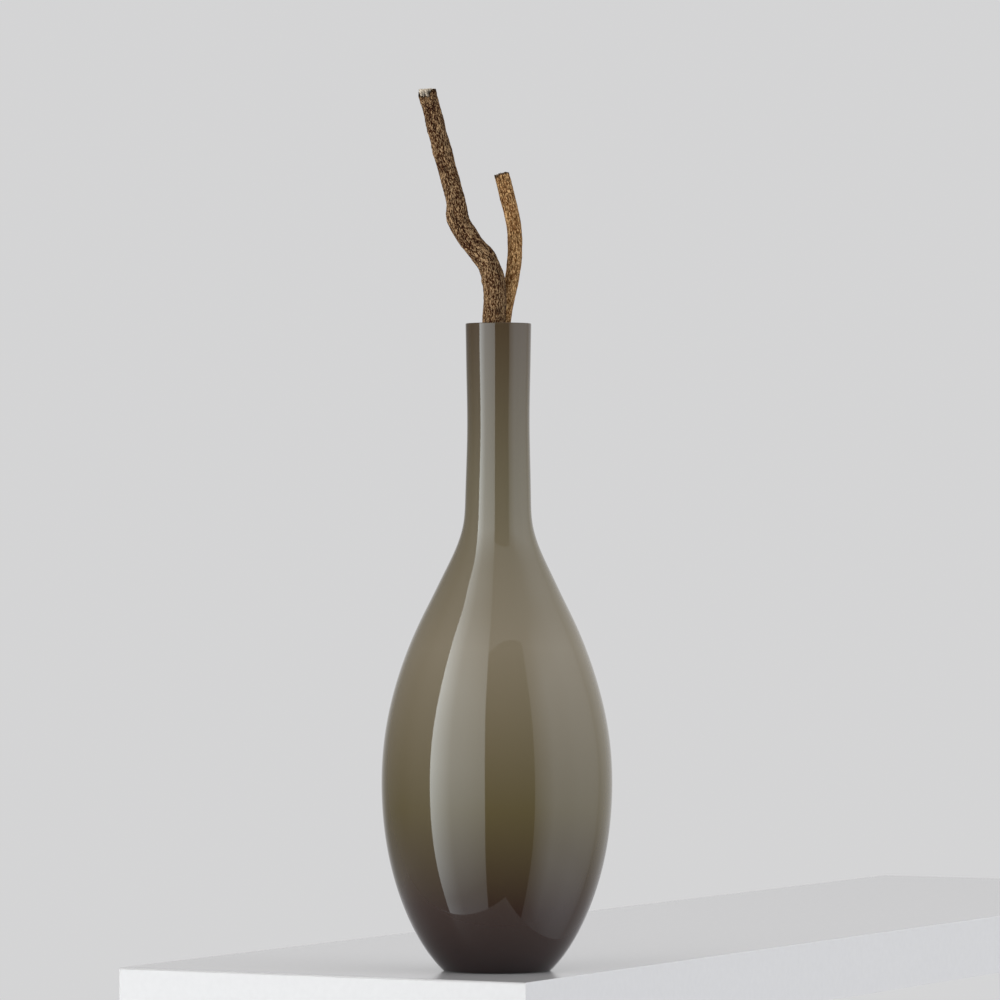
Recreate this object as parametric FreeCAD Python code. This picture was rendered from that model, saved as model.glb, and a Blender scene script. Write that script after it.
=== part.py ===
"""Blown-glass bottle vase with two dried branches standing in it. Millimetres, +Z up.

The vase is cased glass: a thick tinted casing blown over a thin opal lining, with a heavy solid
heel and a flat ground ring to stand on. The branches stand loose inside it and lift straight out,
so each keeps within the bore of the neck from its lower end up to the rim. Each branch is a wood
core in its bark. The origin is on the vase's axis, in the plane that it stands on. The taller
branch leans towards -X, and -Y is the front.
"""

import FreeCAD
import Part
import os
from math import cos, radians, sin

from FreeCAD import Vector

# The vase
HEIGHT = 400.0
LINING = 0.9  # thickness of the opal lining, along the radius
LINING_FLOOR = 1.4  # and straight down under the cavity's floor, where the glass is thicker
FLOOR = 15.0  # height of the cavity's floor on the axis: the heel below it is solid glass

# Height, outer radius and wall thickness along the radius, from the belly's underside to the rim
WALL_STATIONS = (
    (55.0, 63.0, 5.6),
    (80.0, 68.6, 4.4),
    (111.0, 71.3, 3.8),
    (150.0, 68.7, 3.6),
    (184.0, 60.3, 3.7),
    (216.0, 47.7, 3.8),
    (231.0, 40.3, 3.8),
    (246.0, 33.0, 3.8),
    (261.0, 26.0, 3.4),
    (276.0, 21.5, 3.1),
    (292.0, 20.4, 3.0),
    (312.0, 19.85, 3.0),
    (338.0, 19.35, 3.0),
    (368.0, 19.75, 3.0),
)
RIM_RADIUS = 20.35
RIM_WALL = 3.0
RIM_FLARE = 0.015  # outward slope of the neck where it meets the rim
RIM_ROUNDING = 0.6  # outer edge of the rim, polished round
BORE_ROUNDING = 0.4  # inner edge of the rim

# The heel, as heights and radii: outside below the wall stations, and the cavity's floor
HEEL_OUTSIDE = ((14.5, 44.9), (32.0, 54.5))
CAVITY_FLOOR = ((17.0, 22.0), (24.0, 37.0), (35.0, 48.2))

# The foot
FOOT_FLAT_OUTER = 32.0
FOOT_FLAT_INNER = 25.0
FOOT_ROUNDING = 2.5
FOOT_SIDE_ANGLE = 45.0  # degrees above the table at which the side leaves the foot
PUNT_HEIGHT = 2.6  # rise of the hollow under the foot
PONTIL_RADIUS = 8.0  # polished disc in the middle of that hollow

# The branches: x, y, z and radius over the bark, from the lower end up
BARK = 1.2
CIRCLE_SPACING = 12.0  # along a branch, between the circles that its surface passes through
MAIN_BRANCH = (
    (1.6, -6.6, 16.6, 7.9),
    (0.2, -6.2, 110.0, 7.8),
    (-1.2, -6.5, 210.0, 7.6),
    (-0.6, -6.9, 310.0, 7.5),
    (-1.9, -6.7, 385.0, 7.4),
    (-1.6, -6.6, 404.0, 7.4),
    (-1.2, -6.3, 417.0, 7.3),
    (-3.2, -5.9, 430.5, 7.1),
    (-7.4, -5.3, 439.5, 6.9),
    (-13.7, -4.5, 447.5, 6.9),
    (-19.4, -3.5, 455.5, 6.9),
    (-23.4, -2.6, 463.5, 6.9),
    (-25.2, -1.4, 474.0, 6.3),
    (-29.6, 0.6, 491.0, 6.0),
    (-37.3, 4.4, 520.5, 6.0),
    (-43.4, 7.6, 544.0, 5.9),
)
SIDE_BRANCH = (
    (0.0, 8.8, 16.6, 4.4),
    (-1.6, 8.2, 120.0, 4.5),
    (-0.6, 8.6, 230.0, 4.5),
    (1.4, 8.0, 330.0, 4.5),
    (4.2, 7.6, 402.0, 4.5),
    (7.8, 8.0, 420.5, 4.5),
    (10.5, 8.9, 435.5, 4.5),
    (11.1, 9.9, 449.0, 4.6),
    (10.3, 10.6, 462.0, 4.7),
    (7.2, 11.6, 476.0, 4.8),
    (2.9, 12.8, 493.0, 4.8),
)


def at(radius, height):
    """A point of the vase's half section, which lies in the XZ plane."""
    return Vector(radius, 0, height)


def line(start, end):
    return Part.LineSegment(start, end).toShape()


def arc(start, middle, end):
    return Part.Arc(start, middle, end).toShape()


def spline(points, first_direction, last_direction):
    curve = Part.BSplineCurve()
    curve.interpolate(
        Points=points,
        InitialTangent=first_direction,
        FinalTangent=last_direction,
        Scale=False,
    )
    return curve


def rounded_edge(corner, radius, inward):
    """Quarter round at a corner of the rim, from the wall to the top. inward is -1 outside, 1 in the bore."""
    centre = corner + at(inward * radius, -radius)
    middle = centre + at(-inward * radius * sin(radians(45)), radius * cos(radians(45)))
    return arc(corner - at(0, radius), middle, corner + at(inward * radius, 0))


def outside_curve():
    """The vase's outside from the foot's rounding up to the rim's."""
    angle = radians(FOOT_SIDE_ANGLE)
    start = at(
        FOOT_FLAT_OUTER + FOOT_ROUNDING * sin(angle),
        FOOT_ROUNDING * (1 - cos(angle)),
    )
    heel = [at(radius, height) for height, radius in HEEL_OUTSIDE]
    wall = [at(radius, height) for height, radius, _ in WALL_STATIONS]
    end = at(RIM_RADIUS, HEIGHT - RIM_ROUNDING)
    return spline([start, *heel, *wall, end], at(cos(angle), sin(angle)), at(RIM_FLARE, 1))


def inside_curve(outwards, downwards, end):
    """The cavity's outline, from the floor on the axis up to end, moved outwards and downwards."""
    floor = [at(radius, height - downwards) for height, radius in CAVITY_FLOOR]
    wall = [at(radius - thickness + outwards, height) for height, radius, thickness in WALL_STATIONS]
    return spline([at(0, FLOOR - downwards), *floor, *wall, end], at(1, 0), at(RIM_FLARE, 1))


def cavity_curve():
    return inside_curve(0, 0, at(RIM_RADIUS - RIM_WALL, HEIGHT - BORE_ROUNDING))


def casing_bore_curve():
    """Where the two layers of glass meet."""
    return inside_curve(LINING, LINING_FLOOR, at(RIM_RADIUS - RIM_WALL + LINING, HEIGHT))


def turned(edges):
    """The solid that a closed half section makes, turned once about the vase's axis."""
    section = Part.Face(Part.Wire(Part.__sortEdges__(edges)))
    return section.revolve(Vector(0, 0, 0), Vector(0, 0, 1), 360)


def glass_casing():
    angle = radians(FOOT_SIDE_ANGLE)
    outside = outside_curve()
    bore = casing_bore_curve()
    foot_edge = at(FOOT_FLAT_OUTER, 0)
    foot_inner = at(FOOT_FLAT_INNER, 0)
    pontil_edge = at(PONTIL_RADIUS, PUNT_HEIGHT)
    pontil_centre = at(0, PUNT_HEIGHT)
    hollow_middle = at((FOOT_FLAT_INNER + PONTIL_RADIUS) / 2, PUNT_HEIGHT * 0.7)
    rounding_middle = at(
        FOOT_FLAT_OUTER + FOOT_ROUNDING * sin(angle / 2),
        FOOT_ROUNDING * (1 - cos(angle / 2)),
    )
    rim_corner = at(RIM_RADIUS, HEIGHT)
    return turned(
        [
            line(pontil_centre, pontil_edge),
            arc(pontil_edge, hollow_middle, foot_inner),
            line(foot_inner, foot_edge),
            arc(foot_edge, rounding_middle, outside.StartPoint),
            outside.toShape(),
            rounded_edge(rim_corner, RIM_ROUNDING, -1),
            line(rim_corner - at(RIM_ROUNDING, 0), bore.EndPoint),
            bore.toShape(),
            line(bore.StartPoint, pontil_centre),
        ]
    )


def opal_lining():
    cavity = cavity_curve()
    bore = casing_bore_curve()
    rim_corner = at(RIM_RADIUS - RIM_WALL, HEIGHT)
    return turned(
        [
            bore.toShape(),
            line(bore.EndPoint, rim_corner + at(BORE_ROUNDING, 0)),
            rounded_edge(rim_corner, BORE_ROUNDING, 1),
            cavity.toShape(),
            line(cavity.StartPoint, bore.StartPoint),
        ]
    )


def radius_at(stations, height):
    """The branch's radius over the bark, which tapers evenly from each station to the next."""
    for (_, _, below, first), (_, _, above, last) in zip(stations, stations[1:]):
        if height <= above:
            break
    share = min(max((height - below) / (above - below), 0), 1)
    return first + (last - first) * share


def limb(stations, removed=0.0):
    """A bent round solid through evenly spaced circles, each removed mm smaller than the branch."""
    path = Part.BSplineCurve()
    path.interpolate([Vector(x, y, z) for x, y, z, _ in stations])
    circles = []
    for point in path.discretize(Number=round(path.length() / CIRCLE_SPACING) + 1):
        circle = Part.Wire(Part.makeCircle(radius_at(stations, point.z) - removed))
        direction = path.getDN(path.parameter(point), 1)
        turn = FreeCAD.Rotation(Vector(0, 0, 1), direction)
        circle.Placement = FreeCAD.Placement(point, turn)
        circles.append(circle)
    return Part.makeLoft(circles, True, False)


def branch(stations):
    """The bark and the wood of one branch."""
    wood = limb(stations, BARK)
    return limb(stations).cut(wood), wood


def main():
    os.makedirs("parts", exist_ok=True)
    main_bark, main_wood = branch(MAIN_BRANCH)
    side_bark, side_wood = branch(SIDE_BRANCH)
    nodes = {
        "glass_casing": glass_casing(),
        "opal_lining": opal_lining(),
        "main_branch_bark": main_bark,
        "main_branch_wood": main_wood,
        "side_branch_bark": side_bark,
        "side_branch_wood": side_wood,
    }
    for name, shape in nodes.items():
        shape.exportStep(f"parts/{name}.step")
        print(name, "valid", shape.isValid(), "solids", len(shape.Solids), "mm3", round(shape.Volume))


main()
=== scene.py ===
"""Blown-glass bottle vase with two dried branches, on a pale shelf in soft window light. Metres, +Z up.

The vase's axis is the Z axis, and -Y is the front. Each piece replaces one CAD node and keeps its
size: the two layers of glass are turned about the axis from the same stations as the CAD solids,
and each branch's bark and wood are built round the same path, with their surface modelled. Unlike
the CAD solids, the glass is slightly out of round, and its neck leans by NECK_LEAN.
"""

import math
from collections import namedtuple

import bpy
import numpy as np
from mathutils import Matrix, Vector, noise


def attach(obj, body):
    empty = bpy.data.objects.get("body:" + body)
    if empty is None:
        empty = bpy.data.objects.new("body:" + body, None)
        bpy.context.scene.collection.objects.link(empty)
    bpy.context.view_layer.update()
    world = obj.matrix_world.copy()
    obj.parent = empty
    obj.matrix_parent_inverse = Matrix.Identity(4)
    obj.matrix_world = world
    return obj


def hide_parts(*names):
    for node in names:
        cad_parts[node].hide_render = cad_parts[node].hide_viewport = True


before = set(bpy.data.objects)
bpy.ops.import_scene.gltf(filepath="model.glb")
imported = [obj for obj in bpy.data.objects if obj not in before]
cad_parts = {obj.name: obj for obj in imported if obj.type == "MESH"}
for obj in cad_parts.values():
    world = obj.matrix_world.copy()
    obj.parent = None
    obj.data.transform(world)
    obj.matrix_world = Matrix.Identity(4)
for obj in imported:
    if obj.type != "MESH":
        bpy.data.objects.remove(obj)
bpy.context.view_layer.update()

MM = 0.001
MIX_FACTOR, MIX_FIRST, MIX_SECOND, MIX_RESULT = 0, 6, 7, 2  # a colour Mix node's sockets

# ---------------------------------------------------------------- shapes, in millimetres

# Height, outer radius and wall thickness of the vase, from the belly's underside to the neck
WALL = (
    (55.0, 63.0, 5.6),
    (80.0, 68.6, 4.4),
    (111.0, 71.3, 3.8),
    (150.0, 68.7, 3.6),
    (184.0, 60.3, 3.7),
    (216.0, 47.7, 3.8),
    (231.0, 40.3, 3.8),
    (246.0, 33.0, 3.8),
    (261.0, 26.0, 3.4),
    (276.0, 21.5, 3.1),
    (292.0, 20.4, 3.0),
    (312.0, 19.85, 3.0),
    (338.0, 19.35, 3.0),
    (368.0, 19.75, 3.0),
)
HEEL = ((14.5, 44.9), (32.0, 54.5))  # height and radius of the outside below those
CAVITY_FLOOR = ((17.0, 22.0), (24.0, 37.0), (35.0, 48.2))  # and of the cavity
HEIGHT = 400.0
FLOOR = 15.0
RIM_RADIUS, RIM_WALL, RIM_FLARE = 20.35, 3.0, 0.015
RIM_ROUNDING, BORE_ROUNDING = 0.6, 0.4  # outer and inner edge of the rim
LINING, LINING_FLOOR = 0.9, 1.4
FOOT_OUTER, FOOT_INNER, FOOT_ROUNDING = 32.0, 25.0, 2.5
PUNT_HEIGHT, PONTIL_RADIUS = 2.6, 8.0
NECK_LEAN = 0.9  # the hand-drawn neck stands this far off the foot's axis

# The branches: x, y, z and radius over the bark, from the lower end up
BARK = 1.2
CUT_REACH = 12  # how far down from a branch's top its surface follows the slope of the cut
MAIN_BRANCH = (
    (1.6, -6.6, 16.6, 7.9),
    (0.2, -6.2, 110.0, 7.8),
    (-1.2, -6.5, 210.0, 7.6),
    (-0.6, -6.9, 310.0, 7.5),
    (-1.9, -6.7, 385.0, 7.4),
    (-1.6, -6.6, 404.0, 7.4),
    (-1.2, -6.3, 417.0, 7.3),
    (-3.2, -5.9, 430.5, 7.1),
    (-7.4, -5.3, 439.5, 6.9),
    (-13.7, -4.5, 447.5, 6.9),
    (-19.4, -3.5, 455.5, 6.9),
    (-23.4, -2.6, 463.5, 6.9),
    (-25.2, -1.4, 474.0, 6.3),
    (-29.6, 0.6, 491.0, 6.0),
    (-37.3, 4.4, 520.5, 6.0),
    (-43.4, 7.6, 544.0, 5.9),
)
SIDE_BRANCH = (
    (0.0, 8.8, 16.6, 4.4),
    (-1.6, 8.2, 120.0, 4.5),
    (-0.6, 8.6, 230.0, 4.5),
    (1.4, 8.0, 330.0, 4.5),
    (4.2, 7.6, 402.0, 4.5),
    (7.8, 8.0, 420.5, 4.5),
    (10.5, 8.9, 435.5, 4.5),
    (11.1, 9.9, 449.0, 4.6),
    (10.3, 10.6, 462.0, 4.7),
    (7.2, 11.6, 476.0, 4.8),
    (2.9, 12.8, 493.0, 4.8),
)


def spline(points, first=None, last=None, pitch=1.5):
    """A smooth line through points, sampled about every pitch mm. first and last are its directions."""
    points = np.array(points, float)
    runs = np.diff(points, axis=0)
    gaps = np.linalg.norm(runs, axis=1)
    first = runs[0] / gaps[0] if first is None else np.array(first) / np.linalg.norm(first)
    last = runs[-1] / gaps[-1] if last is None else np.array(last) / np.linalg.norm(last)
    count = len(points)
    matrix, wanted = np.eye(count), np.zeros_like(points)
    wanted[0], wanted[-1] = first, last
    for i in range(1, count - 1):
        before, after = 1 / gaps[i - 1], 1 / gaps[i]
        matrix[i, i - 1 : i + 2] = before, 2 * (before + after), after
        wanted[i] = 3 * (runs[i - 1] * before**2 + runs[i] * after**2)
    slopes = np.linalg.solve(matrix, wanted)
    line = []
    for i in range(count - 1):
        steps = max(2, round(gaps[i] / pitch))
        for t in np.arange(steps) / steps:
            line.append(
                (1 + 2 * t) * (1 - t) ** 2 * points[i]
                + t * (1 - t) ** 2 * gaps[i] * slopes[i]
                + t * t * (3 - 2 * t) * points[i + 1]
                + t * t * (t - 1) * gaps[i] * slopes[i + 1]
            )
    return np.array([*line, points[-1]])


def arc(centre, radius, start, end, steps=8):
    """Points (r, z) on an arc of the vase's half section, its angles in degrees from +r towards +z."""
    angles = np.radians(np.linspace(start, end, steps + 1))
    return np.column_stack((centre[0] + radius * np.cos(angles), centre[1] + radius * np.sin(angles)))


def straight(start, end, steps=6):
    return np.linspace(start, end, steps + 1)


def outside_line():
    start = (FOOT_OUTER + FOOT_ROUNDING * math.sqrt(0.5), FOOT_ROUNDING * (1 - math.sqrt(0.5)))
    heel = [(r, z) for z, r in HEEL]
    wall = [(r, z) for z, r, _ in WALL]
    return spline([start, *heel, *wall, (RIM_RADIUS, HEIGHT - RIM_ROUNDING)], (1, 1), (RIM_FLARE, 1))


def inside_line(outwards, downwards, end):
    """The cavity's outline from its floor on the axis to end, moved outwards and downwards."""
    points = [(0, FLOOR - downwards)]
    points += [(r, z - downwards) for z, r in CAVITY_FLOOR]
    points += [(r - wall + outwards, z) for z, r, wall in WALL]
    return spline([*points, end], (1, 0), (RIM_FLARE, 1))


def smooth_noise(x, y, z):
    return noise.noise(Vector((x, y, z)))


def new_object(name, vertices, faces, materials, smooth=True):
    mesh = bpy.data.meshes.new(name)
    mesh.from_pydata([tuple(v) for v in np.asarray(vertices) * MM], [], faces)
    mesh.polygons.foreach_set("use_smooth", [smooth] * len(mesh.polygons))
    for material in materials:
        mesh.materials.append(material)
    mesh.validate()
    piece = bpy.data.objects.new(name, mesh)
    bpy.context.scene.collection.objects.link(piece)
    return piece


def ring_faces(rings, around, closed_start=False, closed_end=False):
    """Quads between rings of vertices, with a fan of triangles to a last vertex at a closed end."""
    faces = []
    for i in range(rings - 1):
        for j in range(around):
            k = (j + 1) % around
            faces.append((i * around + j, i * around + k, (i + 1) * around + k, (i + 1) * around + j))
    extra = rings * around
    if closed_start:
        faces += [(extra, (j + 1) % around, j) for j in range(around)]
        extra += 1
    if closed_end:
        base = (rings - 1) * around
        faces += [(base + j, base + (j + 1) % around, extra) for j in range(around)]
    return faces


def lean(z):
    """How far the drawn neck stands to the right of the foot's axis at a height."""
    share = min(1, max(0, (z - 170) / 170))
    return NECK_LEAN * share * share * (3 - 2 * share)


def turned(name, outline, wave, material, around=192):
    """A piece of glass turned about the axis, which leans a little in the neck.

    outline runs from the axis back to it, (r, z) in mm, and wave(z) is how far the hand-blown
    wall strays from round there.
    """
    start, outline, end = outline[0], outline[1:-1], outline[-1]
    angles = np.linspace(0, 2 * math.pi, around, endpoint=False)
    vertices = []
    for r, z in outline:
        for angle in angles:
            x, y = math.cos(angle), math.sin(angle)
            stray = wave(z) * smooth_noise(1.1 * x + 7, 1.1 * y, z / 55) if wave(z) else 0
            vertices.append(((r + stray) * x + lean(z), (r + stray) * y, z))
    vertices += [(0, 0, start[1]), (0, 0, end[1])]
    return new_object(name, vertices, ring_faces(len(outline), around, True, True), [material])


# ---------------------------------------------------------------- materials


def linear(red, green, blue):
    """A colour given in 0 to 255 as a screen shows it."""
    parts = [c / 255 for c in (red, green, blue)]
    return tuple(c / 12.92 if c <= 0.04045 else ((c + 0.055) / 1.055) ** 2.4 for c in parts) + (1,)


class Nodes:
    """A material's node tree, made in a few words."""

    def __init__(self, name):
        self.material = bpy.data.materials.new(name)
        self.material.use_nodes = True
        self.tree = self.material.node_tree
        self.shader = self.tree.nodes["Principled BSDF"]

    def add(self, kind, inputs=None, **settings):
        node = self.tree.nodes.new("ShaderNode" + kind)
        for key, value in settings.items():
            setattr(node, key, value)
        for key, value in (inputs or {}).items():
            if isinstance(value, bpy.types.NodeSocket):
                self.tree.links.new(value, node.inputs[key])
            else:
                node.inputs[key].default_value = value
        return node

    def ramp(self, factor, stops):
        node = self.add("ValToRGB", {"Fac": factor})
        elements = node.color_ramp.elements
        while len(elements) < len(stops):
            elements.new(0.5)
        for element, (position, colour) in zip(elements, stops):
            element.position, element.color = position, colour
        return node.outputs["Color"]

    def noise(self, vector, scale, detail=3.0, roughness=0.55, distortion=0.0):
        inputs = {
            "Vector": vector,
            "Scale": scale,
            "Detail": detail,
            "Roughness": roughness,
            "Distortion": distortion,
        }
        return self.add("TexNoise", inputs).outputs["Fac"]

    def stretched(self, vector, along):
        """A vector whose third part, which runs along the grain, is shortened."""
        return self.add("Mapping", {"Vector": vector, "Scale": (1, 1, along)}).outputs["Vector"]

    def mix(self, factor, first, second, blend="MIX"):
        node = self.add("Mix", data_type="RGBA", blend_type=blend)
        for index, value in ((MIX_FACTOR, factor), (MIX_FIRST, first), (MIX_SECOND, second)):
            if isinstance(value, bpy.types.NodeSocket):
                self.tree.links.new(value, node.inputs[index])
            else:
                node.inputs[index].default_value = value
        return node.outputs[MIX_RESULT]

    def math(self, operation, *values):
        node = self.add("Math", operation=operation)
        for index, value in enumerate(values):
            if isinstance(value, bpy.types.NodeSocket):
                self.tree.links.new(value, node.inputs[index])
            else:
                node.inputs[index].default_value = value
        return node.outputs[0]

    def set(self, **inputs):
        """Sets the shader's sockets: base_color sets Base Color, and so on."""
        for key, value in inputs.items():
            socket = self.shader.inputs[key.replace("_", " ").title().replace("Ior", "IOR")]
            if isinstance(value, bpy.types.NodeSocket):
                self.tree.links.new(value, socket)
            else:
                socket.default_value = value

    def bump(self, height, distance, strength=1.0):
        inputs = {"Height": height, "Distance": distance, "Strength": strength}
        return self.add("Bump", inputs).outputs["Normal"]


def taupe_glass():
    """Tinted glass over opal, with a few tones up its height: darkest at the solid heel and at the rim."""
    n = Nodes("taupe_glass")
    place = n.add("TexCoord").outputs["Object"]
    height = n.add("SeparateXYZ", {"Vector": place}).outputs["Z"]
    drift = n.noise(place, 9.0, 1.0)
    share = n.math("MULTIPLY_ADD", drift, 0.02, n.math("DIVIDE", height, HEIGHT * MM))
    share = n.math("SUBTRACT", share, 0.01)
    near_black = (0.01, 0.002, 0.002, 1)
    dark_brown = (0.03, 0.015, 0.01, 1)
    olive_brown = (0.09, 0.07, 0.03, 1)
    taupe = (0.18, 0.15, 0.1, 1)
    neck_olive = (0.12, 0.1, 0.06, 1)
    rim_brown = (0.06, 0.04, 0.02, 1)
    tones = (
        (0.0, near_black),
        (0.1, dark_brown),
        (0.25, olive_brown),
        (0.5, taupe),
        (0.75, neck_olive),
        (1.0, rim_brown),
    )
    colour = n.ramp(share, tones)
    ripple = n.noise(n.stretched(place, 0.35), 60.0, 1.0)
    n.set(
        base_color=colour,
        roughness=0.025,
        ior=1.52,
        specular_ior_level=0.5,
        normal=n.bump(ripple, 0.00004),
    )
    return n.material


def opal_glass():
    """Opaque white glass with a faint cloudiness and a gloss."""
    n = Nodes("opal_glass")
    place = n.add("TexCoord").outputs["Object"]
    cloud = n.noise(n.stretched(place, 0.4), 55.0, 4.0)
    colour = n.ramp(cloud, [(0.3, (0.56, 0.50, 0.40, 1)), (0.7, (0.70, 0.65, 0.55, 1))])
    n.set(base_color=colour, roughness=0.08, ior=1.5, normal=n.bump(cloud, 0.00006))
    return n.material


def bark(name, radius, dark, middle, light):
    """Dry fibrous bark: fine golden flecks and dark cracks along the grain, in broad faint patches."""
    n = Nodes(name)
    grain = n.add("Attribute", attribute_name="grain").outputs["Vector"]
    painted_shade_and_stain = n.add("Attribute", attribute_name="painted_shade_and_stain").outputs["Fac"]
    patches = n.noise(n.stretched(grain, 0.3), 160.0, 2.0)
    flecks = n.noise(n.stretched(grain, 0.33), 1900.0, 1.0, 0.7, 0.4)
    fibres = n.noise(n.stretched(grain, 0.12), 1100.0, 3.0, 0.6)
    cracks = n.noise(n.stretched(grain, 0.2), 520.0, 2.0, 0.5, 1.2)
    level = n.math("MULTIPLY_ADD", fibres, 0.4, n.math("MULTIPLY_ADD", patches, 0.2, flecks))
    level = n.math("MULTIPLY", level, 0.625)  # a middle of 0.5
    brightest = tuple(min(1, 1.6 * c) for c in light)
    colour = n.ramp(level, [(0.43, dark), (0.49, middle), (0.54, light), (0.575, brightest)])
    crack = n.math("SMOOTH_MIN", n.math("ABSOLUTE", n.math("SUBTRACT", cracks, 0.5)), 0.04, 0.015)
    crack = n.math("MULTIPLY", crack, 25.0)
    colour = n.mix(crack, tuple(0.6 * c for c in dark[:3]) + (1,), colour)
    # painted light: the bark is paler on the side turned to -X and darker on the other, standing in for
    # stronger light from the left
    across = n.add("SeparateXYZ", {"Vector": grain}).outputs["X"]
    painted_side_light = n.math("MULTIPLY_ADD", across, -0.3 / (radius * MM), 0.94)
    colour = n.mix(1.0, colour, painted_side_light, "MULTIPLY")
    # painted shade and stain: near black in the bark's hollows and on its inside, where shade falls, and
    # where the broken cut has dried dark
    colour = n.mix(painted_shade_and_stain, colour, (0.010, 0.005, 0.002, 1))
    relief = n.math("ADD", n.math("MULTIPLY", flecks, 0.6), n.math("MULTIPLY", fibres, 0.5))
    relief = n.math("MULTIPLY_ADD", crack, 0.4, relief)
    n.set(
        base_color=colour,
        roughness=0.85,
        specular_ior_level=0.04,
        normal=n.bump(relief, 0.0006, 0.9),
    )
    return n.material


def cut_wood(name, pale, shade):
    """Broken end grain: pale splinters round pits, with painted shade darkening the pits."""
    n = Nodes(name)
    grain = n.add("Attribute", attribute_name="grain").outputs["Vector"]
    painted_shade_and_stain = n.add("Attribute", attribute_name="painted_shade_and_stain").outputs["Fac"]
    chips = n.noise(grain, 700.0, 4.0, 0.65, 0.8)
    colour = n.ramp(chips, [(0.32, shade), (0.5, tuple(0.7 * c for c in pale[:3]) + (1,)), (0.62, pale)])
    # painted shade: near black in the pits and hollows of the wood
    colour = n.mix(painted_shade_and_stain, colour, (0.008, 0.005, 0.003, 1))
    n.set(base_color=colour, roughness=0.85, specular_ior_level=0.3, normal=n.bump(chips, 0.0005, 0.9))
    return n.material


def shelf_lacquer(name, tone):
    n = Nodes(name)
    grain = n.noise(n.add("TexCoord").outputs["Object"], 240.0, 3.0)
    dull = (0.97 * tone, 0.96 * tone, 0.965 * tone, 1)
    clean = (tone, 0.99 * tone, 0.995 * tone, 1)
    colour = n.ramp(grain, [(0.3, dull), (0.7, clean)])
    n.set(base_color=colour, roughness=0.16, normal=n.bump(grain, 0.00002))
    return n.material


# ---------------------------------------------------------------- the vase


def wall_wave(z):
    """How far a hand-blown wall strays from round at a height: not at all at the foot and the rim."""
    return 0.16 * min(1, max(0, (z - 3) / 25)) * min(1, max(0, (HEIGHT - 2 - z) / 15))


def vase_casing():
    corner = FOOT_ROUNDING
    bore_top = RIM_RADIUS - RIM_WALL + LINING
    outline = [
        straight((0, PUNT_HEIGHT), (PONTIL_RADIUS, PUNT_HEIGHT)),
        spline([(PONTIL_RADIUS, PUNT_HEIGHT), (16.5, 1.8), (FOOT_INNER, 0)], (1, 0), (1, -0.25)),
        straight((FOOT_INNER + 0.3, 0), (FOOT_OUTER - 0.1, 0)),
        arc((FOOT_OUTER, corner), corner, -90, -45),
        outside_line()[1:],
        arc((RIM_RADIUS - RIM_ROUNDING, HEIGHT - RIM_ROUNDING), RIM_ROUNDING, 0, 90)[1:],
        straight((RIM_RADIUS - 0.7, HEIGHT), (bore_top + 0.08, HEIGHT), 4),
        inside_line(LINING, LINING_FLOOR, (bore_top, HEIGHT - 0.1))[::-1],
    ]
    piece = turned("vase_casing", np.vstack(outline), wall_wave, taupe_glass())
    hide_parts("glass_casing")
    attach(piece, "vase")


def vase_lining():
    radius = RIM_RADIUS - RIM_WALL
    outline = [
        inside_line(LINING - 0.02, LINING_FLOOR - 0.02, (radius + LINING - 0.02, HEIGHT - 0.1)),
        straight((radius + LINING - 0.1, HEIGHT), (radius + 0.45, HEIGHT), 3),
        arc((radius + BORE_ROUNDING, HEIGHT - BORE_ROUNDING), BORE_ROUNDING, 90, 180, 5),
        inside_line(0, 0, (radius, HEIGHT - 0.5))[::-1],
    ]
    piece = turned("vase_lining", np.vstack(outline), lambda z: 0, opal_glass())
    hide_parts("opal_lining")
    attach(piece, "vase")


# ---------------------------------------------------------------- the branches


# How a branch's top is broken: the side where its bark is missing, down how far and over what half width in
# radians, and how near level the wood is cut, from 0 (square to the branch) to 1
Broken = namedtuple("Broken", "side depth width level")


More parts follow.
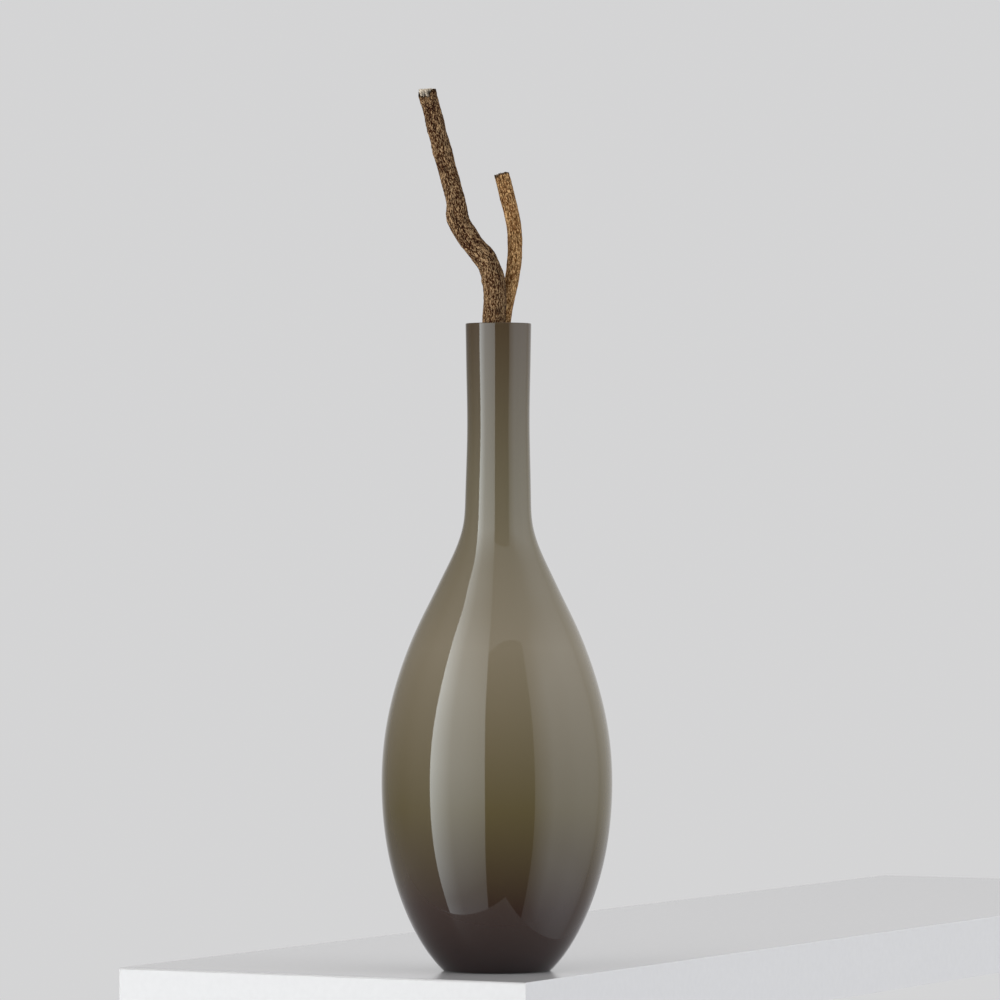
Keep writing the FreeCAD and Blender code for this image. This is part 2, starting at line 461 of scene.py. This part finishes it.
class Limb:
    """A branch's path: centres, radii, distances along it and two directions across it, at even steps."""

    def __init__(self, stations, fine_above, seed):
        stations = np.array(stations)
        line = spline(stations[:, :3], pitch=0.5)
        keep = [0]
        for i in range(1, len(line)):
            pitch = 0.5 if line[i, 2] > fine_above else 6.0
            if np.linalg.norm(line[i] - line[keep[-1]]) >= pitch - 1e-6:
                keep.append(i)
        if keep[-1] != len(line) - 1:
            keep[-1] = len(line) - 1
        self.centres = line[keep]
        self.along = np.concatenate(([0], np.cumsum(np.linalg.norm(np.diff(self.centres, axis=0), axis=1))))
        self.radii = np.interp(self.centres[:, 2], stations[:, 2], stations[:, 3])
        self.tangents = np.gradient(self.centres, self.along, axis=0)
        self.tangents /= np.linalg.norm(self.tangents, axis=1)[:, None]
        across = np.array((1.0, 0.0, 0.0))
        self.first, self.second = [], []
        for tangent in self.tangents:
            across = across - tangent * (across @ tangent)
            across /= np.linalg.norm(across)
            self.first.append(across)
            self.second.append(np.cross(tangent, across))
        self.length = self.along[-1]
        self.seed = seed

    def point(self, i, angle, radius, rise=0.0):
        direction = math.cos(angle) * self.first[i] + math.sin(angle) * self.second[i]
        return self.centres[i] + radius * direction + rise * self.tangents[i]

    def levelling(self, angle, radius):
        """How far a point of the top rises along the branch to be level with the top's highest point."""
        across = self.first[-1][2], self.second[-1][2]
        height = radius * (math.cos(angle) * across[0] + math.sin(angle) * across[1])
        return (self.radii[-1] * math.hypot(*across) - height) / self.tangents[-1][2]

    def rough(self, i, angle):
        """How far the bark stands out at a place: slow swellings, ridges along the grain, and scales."""
        x, y, s = math.cos(angle), math.sin(angle), self.along[i]
        size = self.radii[i]
        swell = smooth_noise(0.9 * x + self.seed, 0.9 * y, s / 14)
        ridge = smooth_noise(0.42 * size * x + self.seed, 0.42 * size * y, s / 9 + 40)
        scale = smooth_noise(1.5 * size * x, 1.5 * size * y + self.seed, s / 2.3 + 90)
        return swell, ridge, scale


def store(piece, name, kind, values):
    layer = piece.data.attributes.new(name, kind, "POINT")
    key = "vector" if kind == "FLOAT_VECTOR" else "value"
    layer.data.foreach_set(key, np.asarray(values, np.float32).ravel())


def finish_branch_piece(piece, grain, painted_shade_and_stain, node, body):
    store(piece, "grain", "FLOAT_VECTOR", np.array(grain) * MM)
    store(piece, "painted_shade_and_stain", "FLOAT", painted_shade_and_stain)
    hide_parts(node)
    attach(piece, body)


def branch_bark(limb, name, body, material, knobs, relief, broken, around=112):
    """The bark, up the outside to the broken edge at the top and a little way down inside."""
    angles = np.linspace(0, 2 * math.pi, around, endpoint=False)
    rings = len(limb.centres)
    vertices, grain, painted_shade_and_stain = [], [], []

    def put(i, angle, radius, rise, dark):
        vertices.append(limb.point(i, angle, radius, rise))
        reach = limb.radii[i]
        along = limb.along[i] + rise + 10 * limb.seed
        grain.append((reach * math.cos(angle), reach * math.sin(angle), along))
        painted_shade_and_stain.append(dark)

    # painted shade on the inside face of the bark's lower end
    for i in (2, 1, 0):
        for angle in angles:
            put(i, angle, limb.radii[i] - BARK, 0, 0.3)
    for i in range(rings):
        share = min(1, limb.along[i] / 4)
        for angle in angles:
            swell, ridge, scale = limb.rough(i, angle)
            rise = relief * share * (0.45 * swell + 0.42 * ridge + 0.30 * scale)
            for height, side, size, reach in knobs:
                above = (limb.centres[i, 2] - height) / reach
                away = math.hypot(above, math.remainder(angle - side, 2 * math.pi) * 1.1)
                rise += size * math.exp(-2.2 * away * away)
            # painted shade: the lowest places of the bark's relief are darkened
            dark = max(0, min(0.5, -1.0 * scale - 0.7 * ridge - 0.35))
            # the cut has dried dark, unevenly down from the edge
            dried = 1 - (limb.length - limb.along[i]) / (1.3 + 1.6 * scale)
            put(i, angle, limb.radii[i] - 0.25 * relief + rise, 0, max(dark, min(0.8, 2 * dried)))
    top = rings - 1
    # the broken edge and the inside face of the bark are darkened: painted shade between the bark and the
    # wood, together with the dark the cut has dried to
    for depth, inset in ((0.0, 0.25), (0.0, 0.8), (-1.4, BARK), (-6.0, BARK)):
        for angle in angles:
            chip = smooth_noise(2.2 * math.cos(angle) + limb.seed, 2.2 * math.sin(angle), 3.3)
            tooth = smooth_noise(7 * math.cos(angle) + limb.seed, 7 * math.sin(angle), 8.1)
            put(top, angle, limb.radii[top] - inset, depth + 0.5 * chip + 0.6 * tooth, 0.8)
    count = 3 + rings
    for j, angle in enumerate(angles):
        # the bark is chipped all round, and broken away lower on one side of the cut
        away = math.remainder(angle - broken.side, 2 * math.pi) / broken.width
        tooth = smooth_noise(6 * math.cos(angle), 6 * math.sin(angle) + limb.seed, 1.7)
        fall = broken.depth * math.exp(-(away**4)) * (1 + 0.4 * tooth) + 0.7 * abs(tooth)
        fall -= broken.level * limb.levelling(angle, limb.radii[top])
        for ring in range(3, count + 3):
            i = min(top, ring - 3)
            share = max(0, 1 - (limb.length - limb.along[i]) / CUT_REACH)
            vertices[ring * around + j] = vertices[ring * around + j] - limb.tangents[i] * fall * share
    piece = new_object(name, vertices, ring_faces(count + 4, around), [material])
    finish_branch_piece(piece, grain, painted_shade_and_stain, body + "_bark", body)


def branch_wood(limb, name, body, material, broken, around=96):
    """The wood core: plain where the bark hides it, splintered and pitted on its cut top."""
    angles = np.linspace(0, 2 * math.pi, around, endpoint=False)
    rings = len(limb.centres)
    top = rings - 1
    vertices, grain, painted_shade_and_stain = [], [], []

    def put(i, angle, radius, rise, dark):
        vertices.append(limb.point(i, angle, radius, rise))
        grain.append((radius * math.cos(angle), radius * math.sin(angle), limb.along[i] + rise))
        painted_shade_and_stain.append(dark)

    core = [max(0.5, r - BARK - 0.06) for r in limb.radii]

    def splinters(share, angle):
        """How far a point of the cut top stands up, and how deep it is pitted, at a share of the radius."""
        x, y = share * math.cos(angle), share * math.sin(angle)
        near = max(0, x * math.cos(broken.side) + y * math.sin(broken.side))
        bits = smooth_noise(5.5 * x + limb.seed, 5.5 * y, 2.1)
        fine = smooth_noise(13 * x + limb.seed, 13 * y, 6.4)
        pit = max(0, min(1, -4 * bits - 1.8 * fine - 0.1))
        rise = -0.12 * broken.depth * near**2 + 1.2 * bits + 0.6 * fine - 1.3 * pit - 0.4
        return rise + broken.level * limb.levelling(angle, core[top] * share), pit

    steps = [*range(0, top - 24, 4), *range(top - 24, top, 2), top]
    for share in (0.35, 0.7, 0.95):
        for angle in angles:
            x, y = 3 * share * math.cos(angle), 3 * share * math.sin(angle)
            put(0, angle, core[0] * share, 0.3 * smooth_noise(x, y, 5), 0.1)
    for i in steps[:-1]:
        share = max(0, 1 - (limb.length - limb.along[i]) / CUT_REACH)
        for angle in angles:
            # painted shade: the pits are darkened as well as sunk
            pit = smooth_noise(3.4 * math.cos(angle) + limb.seed, 3.4 * math.sin(angle), limb.along[i] / 2)
            pit = max(0, min(1, 5 * pit - 0.1)) * (share > 0.3)
            put(i, angle, core[i] - 0.5 * pit, share**2 * splinters(1, angle)[0], pit)
    shares = (1.0, 0.96, 0.9, 0.84, 0.78, 0.71, 0.64, 0.57, 0.5, 0.43, 0.36, 0.29, 0.22, 0.15, 0.08)
    # painted shade: the pits on the cut top are darkened as well as sunk
    for share in shares:
        for angle in angles:
            rise, pit = splinters(share, angle)
            put(top, angle, core[top] * share, rise, pit)
    vertices += [limb.centres[0], limb.point(top, 0, 0, broken.level * limb.levelling(0, 0) - 0.6)]
    grain += [(0, 0, 0), (0, 0, limb.length)]
    painted_shade_and_stain += [0, 0.4]
    count = 3 + len(steps) - 1 + len(shares)
    piece = new_object(name, vertices, ring_faces(count, around, True, True), [material])
    finish_branch_piece(piece, grain, painted_shade_and_stain, body + "_wood", body)


def branches():
    dark_bark = bark("bark", 6.6, linear(40, 15, 5), linear(85, 55, 30), linear(140, 115, 85))
    tan_bark = bark("tan_bark", 4.6, linear(95, 60, 25), linear(140, 100, 65), linear(180, 145, 100))
    pale_wood = cut_wood("cut_wood", (0.80, 0.70, 0.55, 1), (0.20, 0.11, 0.05, 1))
    grey_wood = cut_wood("weathered_wood", (0.30, 0.21, 0.13, 1), (0.09, 0.05, 0.02, 1))
    left = math.pi
    # a knob's height, its side in radians from +X, how far it stands out, and its reach along the branch
    main_path = Limb(MAIN_BRANCH, 385, 3.0)
    knobs = (
        (466.5, left, 0.9, 5.5),
        (427.0, left + 0.3, 0.7, 3.0),
        (440.0, -0.2, 0.5, 5.0),
        (476.0, 2.2, 0.6, 3.0),
    )
    broken = Broken(left + 0.8, 5.4, 1.2, 0.9)
    branch_bark(main_path, "main_bark", "main_branch", dark_bark, knobs, 1.0, broken)
    branch_wood(main_path, "main_wood", "main_branch", pale_wood, broken)
    side_path = Limb(SIDE_BRANCH, 385, 11.0)
    knobs = ((452.0, 0.3, 0.4, 4.0), (437.0, left, 0.35, 4.0))
    broken = Broken(left + 0.5, 1.6, 0.6, 0.3)
    branch_bark(side_path, "side_bark", "side_branch", tan_bark, knobs, 0.55, broken, 84)
    branch_wood(side_path, "side_wood", "side_branch", grey_wood, broken, 72)


# ---------------------------------------------------------------- the stage


def shelf():
    """A pale lacquered slab: its near corner in front of the vase, and its far end out of sight."""
    near, left, far = Vector((17.3, -119.0)), Vector((-235.0, 32.0)), Vector((560.0, 1080.0))
    corners = [near, far, far + (left - near), left]
    thickness, round_off = 40.0, 1.2
    centre = sum(corners, Vector((0, 0))) / 4
    vertices, faces = [], []
    rings = [(-6.0, 0.0), (-round_off, 0.0), (-0.35, -0.35), (0.0, -round_off), (0.0, -thickness)]
    for out, z in rings:
        for corner in corners:
            ahead = (corner - centre).normalized()
            point = corner + ahead * out * 1.3
            vertices.append((point.x, point.y, z))
    for i in range(len(rings) - 1):
        for j in range(4):
            k = (j + 1) % 4
            faces.append((i * 4 + j, i * 4 + k, (i + 1) * 4 + k, (i + 1) * 4 + j))
    faces.append((3, 2, 1, 0))
    last = (len(rings) - 1) * 4
    faces.append((last, last + 1, last + 2, last + 3))
    # painted light: the top and the edges are one lacquer in two tones, set for how light falls on each
    lit_and_shaded_lacquers = [shelf_lacquer("shelf_top", 0.62), shelf_lacquer("shelf_edge", 0.6)]
    slab = new_object("shelf", vertices, faces, lit_and_shaded_lacquers, smooth=False)
    for face in slab.data.polygons:
        face.material_index = 0 if abs(face.normal.z) > 0.5 else 1


def area_light(name, width, height, radiance, tint):
    light = bpy.data.lights.new(name, "AREA")
    light.shape = "RECTANGLE"
    light.size, light.size_y = width, height
    light.energy = radiance * math.pi * width * height
    light.color = tint
    lamp = bpy.data.objects.new(name, light)
    bpy.context.scene.collection.objects.link(lamp)
    return lamp


def window(name, middle, half_angle, distance, low, high, radiance, tint):
    """A tall soft window. middle and half_angle are degrees from the front towards +X."""
    lamp = area_light(name, 2 * distance * math.tan(math.radians(half_angle)), high - low, radiance, tint)
    away = Vector((math.sin(math.radians(middle)), -math.cos(math.radians(middle)), 0))
    lamp.location = away * distance + Vector((0, 0, (low + high) / 2))
    lamp.rotation_euler = (-away).to_track_quat("-Z", "Y").to_euler()
    return lamp


def shade_window(lamp, across, upward):
    """Dims a window by steps of (share, strength), across from its left edge and up from its foot."""
    lamp.data.use_nodes = True
    tree = lamp.data.node_tree
    place = tree.nodes.new("ShaderNodeSeparateXYZ")
    tree.links.new(tree.nodes.new("ShaderNodeNewGeometry").outputs["Parametric"], place.inputs[0])
    product = tree.nodes.new("ShaderNodeMath")
    product.operation = "MULTIPLY"
    for index, (axis, levels) in enumerate((("X", across), ("Y", upward))):
        ramp = tree.nodes.new("ShaderNodeValToRGB")
        elements = ramp.color_ramp.elements
        while len(elements) < len(levels):
            elements.new(0.5)
        for element, (position, strength) in zip(elements, levels):
            element.position, element.color = position, (strength, strength, strength, 1)
        tree.links.new(place.outputs[axis], ramp.inputs["Fac"])
        tree.links.new(ramp.outputs["Color"], product.inputs[index])
    tree.links.new(product.outputs[0], tree.nodes["Emission"].inputs["Strength"])


def room_card(name, middle, half_angle, distance, low, left_top, right_top, glow):
    """An upright card that only the vase's reflections show. glow is its radiance."""
    away = Vector((math.sin(math.radians(middle)), -math.cos(math.radians(middle)), 0))
    across = Vector((-away.y, away.x, 0)) * distance * math.tan(math.radians(half_angle))
    left, right = away * distance - across, away * distance + across
    up = Vector((0, 0, 1))
    corners = [left + low * up, right + low * up, right + right_top * up, left + left_top * up]
    n = Nodes(name)
    n.set(base_color=(0.02, 0.02, 0.02, 1), roughness=1.0, specular_ior_level=0.0)
    n.set(emission_color=(1, 1, 1, 1), emission_strength=glow)
    card = new_object(name, [c / MM for c in corners], [(0, 1, 2, 3)], [n.material], smooth=False)
    card.visible_camera = False


def camera_and_world():
    scene = bpy.context.scene
    lens = bpy.data.cameras.new("camera")
    lens.sensor_width = 36.0
    lens.lens = 252.0
    lens.clip_start, lens.clip_end = 0.1, 60.0
    camera = bpy.data.objects.new("camera", lens)
    scene.collection.objects.link(camera)
    camera.location = (0.0019, -4.327, 0.2663)
    aim = Vector((0.0019, 0.0, 0.2908)) - camera.location
    camera.rotation_euler = aim.to_track_quat("-Z", "Y").to_euler()
    scene.camera = camera
    world = bpy.data.worlds.new("world")
    world.use_nodes = True
    tree = world.node_tree
    around = tree.nodes.new("ShaderNodeTexGradient")
    around.gradient_type = "RADIAL"
    direction = tree.nodes.new("ShaderNodeTexCoord").outputs["Generated"]
    tree.links.new(direction, around.inputs["Vector"])
    ramp = tree.nodes.new("ShaderNodeValToRGB")
    tree.links.new(around.outputs["Fac"], ramp.inputs["Fac"])
    # below the eye the walls run into a pale floor
    parts = tree.nodes.new("ShaderNodeSeparateXYZ")
    tree.links.new(direction, parts.inputs["Vector"])
    low = tree.nodes.new("ShaderNodeMapRange")
    low.inputs["From Min"].default_value = -0.1
    low.inputs["From Max"].default_value = -0.3
    tree.links.new(parts.outputs["Z"], low.inputs["Value"])
    floor = tree.nodes.new("ShaderNodeMix")
    floor.data_type = "RGBA"
    floor.inputs[MIX_SECOND].default_value = (0.45, 0.45, 0.45, 1)
    tree.links.new(low.outputs["Result"], floor.inputs[MIX_FACTOR])
    tree.links.new(ramp.outputs["Color"], floor.inputs[MIX_FIRST])
    tree.links.new(floor.outputs[MIX_RESULT], tree.nodes["Background"].inputs["Color"])
    # as shares of a turn from -X by the front, +X and the back: even, then dim between the back and -X
    walls = ((0.0, 0.45), (0.1, 0.66), (0.77, 0.66), (0.85, 0.25), (0.95, 0.25), (1.0, 0.45))
    elements = ramp.color_ramp.elements
    while len(elements) < len(walls):
        elements.new(0.5)
    for element, (place, level) in zip(elements, walls):
        element.position, element.color = place, (level, level, 1.008 * level, 1)
    scene.world = world
    scene.view_settings.view_transform = "Standard"


camera_and_world()
# each window is a lamp that the glass reflects and a fill that lights the pieces
left_levels = (
    ((0.0, 1.0), (0.4, 0.4), (1.0, 0.25)),
    ((0.2, 0.3), (0.45, 1.0), (0.6, 1.0), (0.9, 0.2)),
)
left_window = window("left_window", -41, 29, 3.2, -4.5, 6.2, 6.6, (0.93, 1.0, 1.02))
shade_window(left_window, *left_levels)
left_window.visible_diffuse = False
left_fill = window("left_fill", -41, 29, 3.3, -4.6, 6.4, 4.2, (1.0, 1.0, 1.0))
shade_window(left_fill, *left_levels)
left_fill.visible_glossy = False
right_window = window("right_window", 80, 42, 3.2, -4.5, 6.2, 1.1, (0.92, 0.98, 1.06))
shade_window(
    right_window,
    ((0.0, 0.1), (0.3, 1.0), (0.6, 0.8), (1.0, 0.1)),
    ((0.1, 0.2), (0.3, 1.0), (0.6, 1.0), (0.75, 0.1)),
)
right_fill = window("right_fill", 60, 30, 3.4, -1.5, 5.0, 0.7, (1.0, 1.0, 1.0))
right_fill.visible_glossy = False
room_card("unlit_room", 13, 25, 5.4, -7.0, 5.2, 5.35, 0.12)
shelf()
vase_casing()
vase_lining()
branches()
